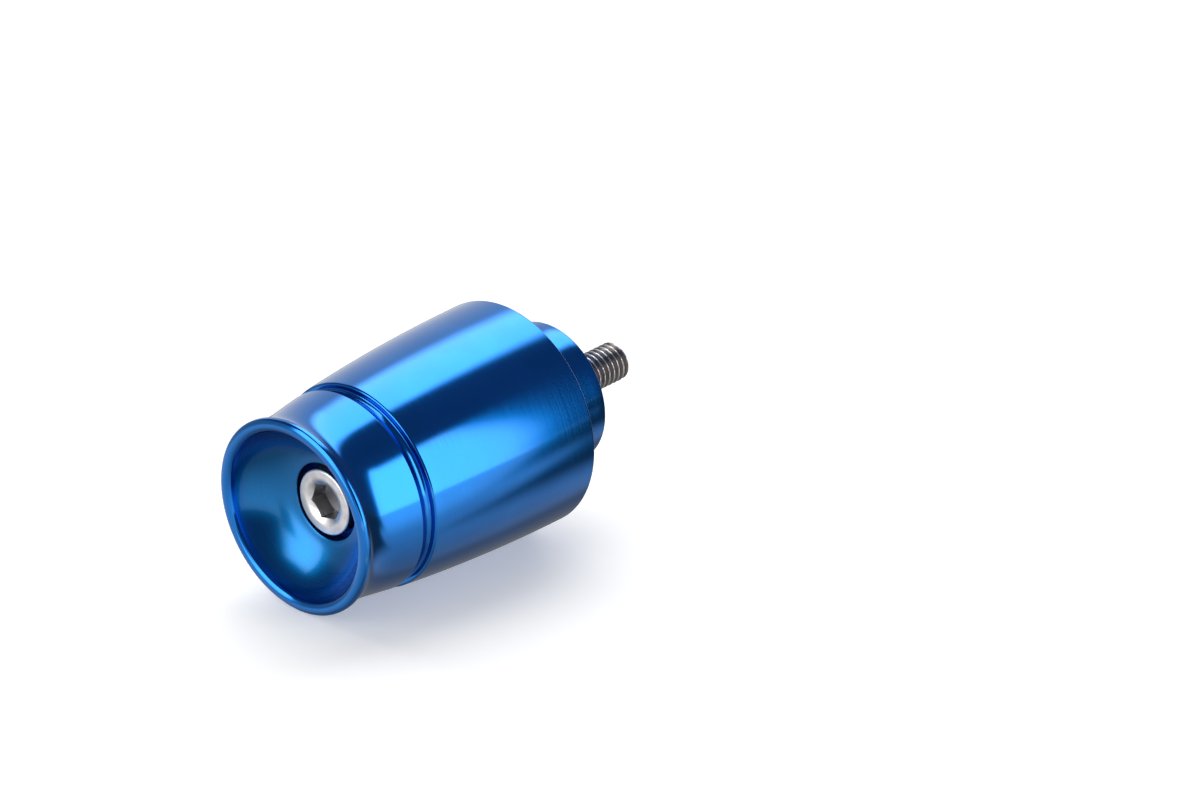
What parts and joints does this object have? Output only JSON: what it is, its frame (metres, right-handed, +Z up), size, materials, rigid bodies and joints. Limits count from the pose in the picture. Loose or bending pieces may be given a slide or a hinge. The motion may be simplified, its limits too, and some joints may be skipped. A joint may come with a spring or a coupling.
{
  "type": "motorcycle bar end weight",
  "caption": "Turned blue bar end weight with a dished flared cup, grooved crowned barrel and collar, held to a handlebar by a socket head cap screw.",
  "frame": {"origin": "centre of the nose's base, in the plane of the shoulder that meets the handlebar's end", "axes": "+X along the turning axis into the handlebar, the dished cup faces -X, +Z up"},
  "size_m": [0.0674, 0.035, 0.035],
  "materials": {
    "anodised_aluminium": "clear blue anodised over fine turning lines",
    "stainless_steel": "plain stainless, satin"
  },
  "bodies": {
    "root": {"weight_body": "anodised_aluminium", "cap_screw": "stainless_steel"}
  },
  "joints": []
}
